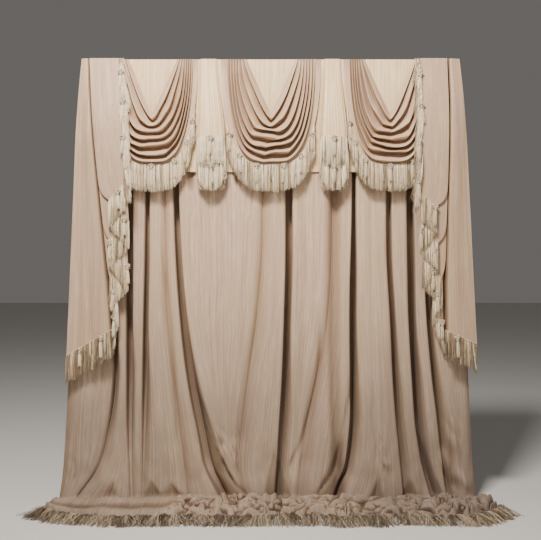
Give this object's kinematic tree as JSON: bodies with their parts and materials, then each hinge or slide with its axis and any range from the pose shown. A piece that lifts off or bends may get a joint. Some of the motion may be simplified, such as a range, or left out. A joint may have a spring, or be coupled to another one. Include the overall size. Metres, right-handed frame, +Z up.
{
  "type": "swag and tail drape",
  "caption": "Swag and tail drape of watered silk: draped swags, trumpets and tails with bullion fringe over a full-length curtain that puddles on the floor.",
  "frame": {"origin": "middle of the top edge, where the drape hangs, at the front of its curtain", "axes": "+Z up, +X to the right seen from the front, the front faces -Y"},
  "size_m": [3.0943, 0.7028, 3.0002],
  "materials": {
    "watered_silk": "watered silk, soft sheen, pale pinkish beige",
    "pale_silk": "watered silk, soft sheen, pale cream beige",
    "fringe": "silk bullion fringe, cream",
    "hem_fringe": "silk bullion fringe, darker straw"
  },
  "bodies": {
    "root": {"curtain": "watered_silk", "swag_left": "watered_silk", "swag_centre": "watered_silk", "swag_right": "watered_silk", "tail_left": "watered_silk", "tail_right": "watered_silk", "pelmet": "pale_silk", "trumpet_left": "pale_silk", "trumpet_right": "pale_silk", "swag_fringe_left": "fringe", "swag_fringe_centre": "fringe", "swag_fringe_right": "fringe", "trumpet_fringe_front_left": "fringe", "trumpet_fringe_back_left_a": "fringe", "trumpet_fringe_back_left_b": "fringe", "tail_edge_fringe_left": "fringe", "tail_cascade_fringe_left": "fringe", "tail_hem_fringe_left": "fringe", "trumpet_fringe_front_right": "fringe", "trumpet_fringe_back_right_a": "fringe", "trumpet_fringe_back_right_b": "fringe", "tail_edge_fringe_right": "fringe", "tail_cascade_fringe_right": "fringe", "tail_hem_fringe_right": "fringe", "curtain_fringe": "hem_fringe"}
  },
  "joints": []
}
